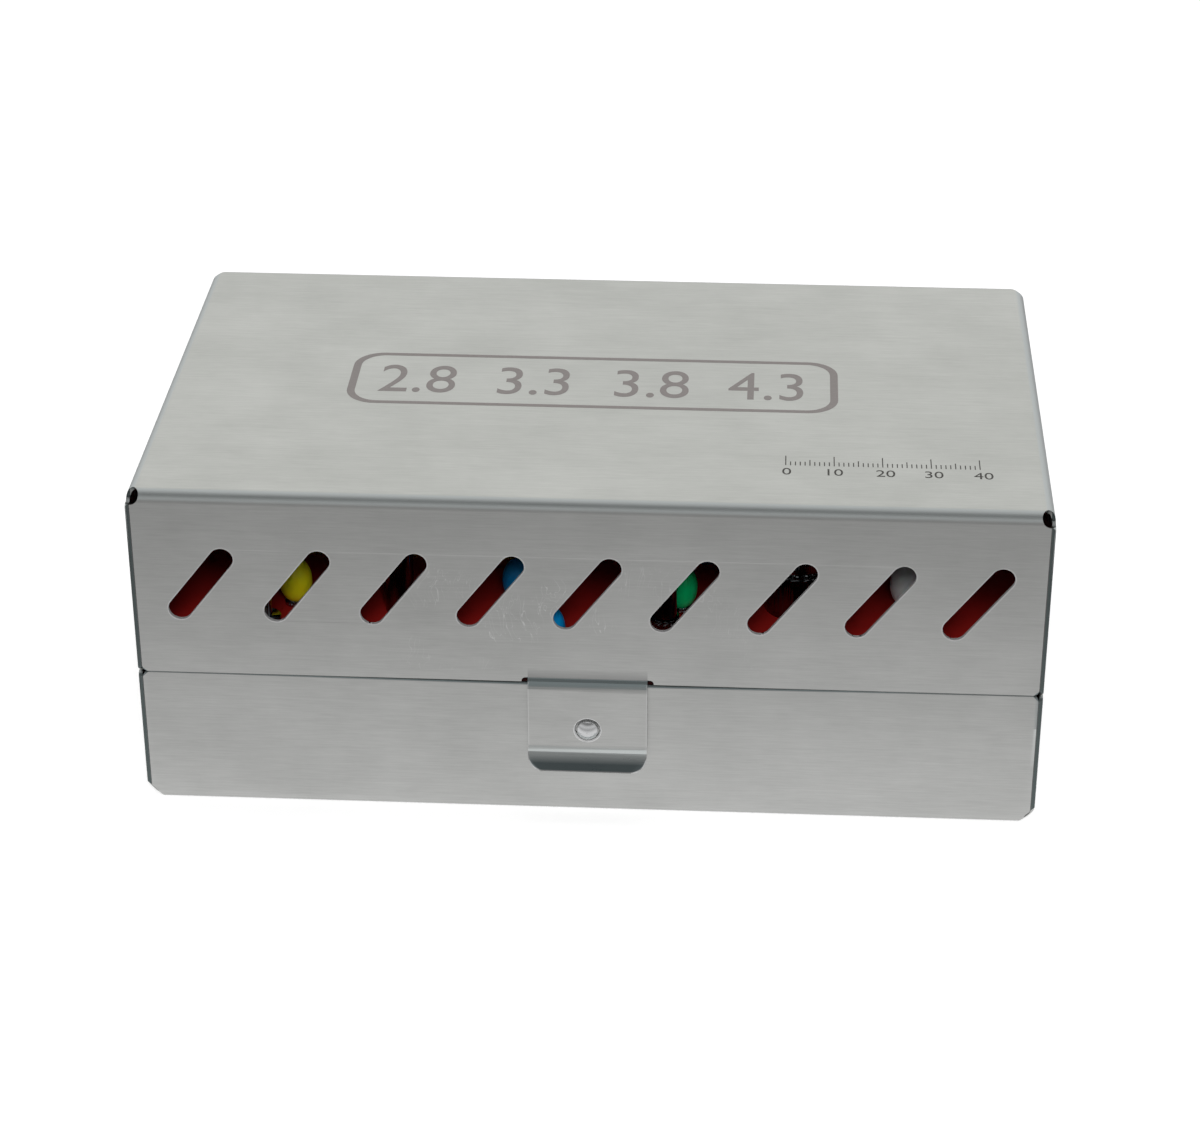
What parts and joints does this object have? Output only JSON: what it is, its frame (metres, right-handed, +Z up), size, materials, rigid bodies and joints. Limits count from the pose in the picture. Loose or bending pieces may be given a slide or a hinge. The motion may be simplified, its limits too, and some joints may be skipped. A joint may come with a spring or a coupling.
{
  "type": "implant drill kit",
  "caption": "Folded steel instrument case with a hinged slotted lid, a spring latch tab and a tray of implant drills, finger drivers and a ratchet wrench.",
  "frame": {"origin": "centre of the case's flat underside", "axes": "+X to the right along the case's length, +Y from the latch to the hinge, +Z up"},
  "size_m": [0.189, 0.1206, 0.0746],
  "materials": {
    "case_steel": "brushed lengthwise",
    "bright_steel": "polished",
    "instrument_steel": "satin",
    "tray_red": "fine matt",
    "silicone_yellow": "satin",
    "silicone_blue": "satin",
    "silicone_green": "satin",
    "silicone_white": "satin",
    "silicone_grey": "satin"
  },
  "bodies": {
    "case_base": {"base_shell": "case_steel", "depth_gauge": "instrument_steel", "drill_blue_10": "instrument_steel", "drill_blue_12": "instrument_steel", "drill_blue_14": "instrument_steel", "drill_blue_8": "instrument_steel", "drill_extension": "instrument_steel", "drill_green_10": "instrument_steel", "drill_green_12": "instrument_steel", "drill_green_14": "instrument_steel", "drill_green_8": "instrument_steel", "drill_white_10": "instrument_steel", "drill_white_12": "instrument_steel", "drill_white_14": "instrument_steel", "drill_white_8": "instrument_steel", "drill_yellow_10": "instrument_steel", "drill_yellow_12": "instrument_steel", "drill_yellow_14": "instrument_steel", "drill_yellow_8": "instrument_steel", "driver_blue_long_grip": "silicone_blue", "driver_blue_long_stem": "instrument_steel", "driver_blue_short_grip": "silicone_blue", "driver_blue_short_stem": "instrument_steel", "driver_green_grip": "silicone_green", "driver_green_stem": "instrument_steel", "driver_white_grip": "silicone_white", "driver_white_stem": "instrument_steel", "driver_yellow_grip": "silicone_yellow", "driver_yellow_stem": "instrument_steel", "hand_wheel": "instrument_steel", "hinge_pin": "bright_steel", "holder_blue": "silicone_blue", "holder_green": "silicone_green", "holder_white": "silicone_white", "holder_yellow": "silicone_yellow", "instrument_tray": "tray_red", "lance_drill": "instrument_steel", "latch_stud": "bright_steel", "pilot_drill": "instrument_steel", "ratchet_body": "instrument_steel", "ratchet_cover": "instrument_steel", "wrench_rests": "silicone_grey"},
    "case_lid": {"lid_shell": "case_steel"},
    "wrench_wheel": {"ratchet_wheel": "instrument_steel"},
    "wrench_pawl": {"ratchet_pawl": "instrument_steel", "ratchet_spring": "instrument_steel"}
  },
  "joints": [
    {"name": "lid_hinge", "type": "hinge", "parent": "case_base", "child": "case_lid", "pos_m": [0, 0.0578, 0.032], "axis": [-1, 0, 0], "range_deg": [0, 135]},
    {"name": "ratchet_wheel_spin", "type": "hinge", "parent": "case_base", "child": "wrench_wheel", "pos_m": [0.04, 0.0395, 0.0435], "axis": [0, 0, 1], "continuous": true},
    {"name": "ratchet_pawl_slide", "type": "slide", "parent": "case_base", "child": "wrench_pawl", "axis": [-1, 0, 0], "range_m": [0, 0.001], "stiffness_N_per_m": 200, "springref_m": -0.001}
  ]
}
